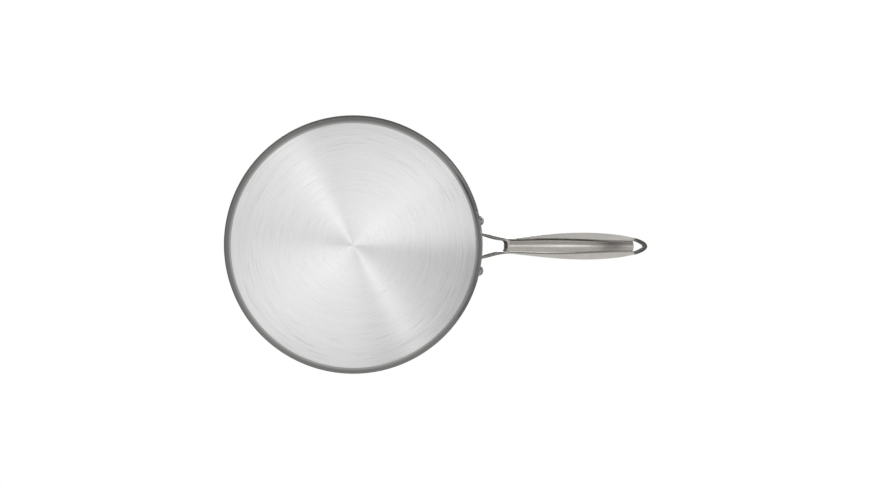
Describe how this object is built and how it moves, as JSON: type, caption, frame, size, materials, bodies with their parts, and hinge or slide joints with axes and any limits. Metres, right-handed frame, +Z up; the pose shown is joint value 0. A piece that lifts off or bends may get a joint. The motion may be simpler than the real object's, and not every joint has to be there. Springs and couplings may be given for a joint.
{
  "type": "braising pan",
  "caption": "Round straight-sided braising pan of clad sheet with a brushed flat base, a flared pouring rim and a long hollow steel handle on a riveted fork with a hanging eye.",
  "frame": {"origin": "centre of the flat underside of the base, on the plane the pan stands on", "axes": "+Z up through the mouth of the pan, +X from the pan's centre along the handle"},
  "size_m": [0.4919, 0.2968, 0.1032],
  "materials": {
    "brushed_base": "turned concentric brushing under the base, satin on the wall",
    "aluminium_core": "cut edge, seen only as a line at the rim",
    "satin_inside": "satin",
    "cast_steel": "polished casting",
    "polished_grip": "satin polish along the grip",
    "strip_steel": "bright satin along the strip",
    "rivet_steel": "polished dome"
  },
  "bodies": {
    "root": {"outer_skin": "brushed_base", "aluminium_core": "aluminium_core", "inner_skin": "satin_inside", "handle_bracket": "cast_steel", "grip_shell": "polished_grip", "grip_underside": "strip_steel", "rivet_left": "rivet_steel", "rivet_right": "rivet_steel"}
  },
  "joints": []
}
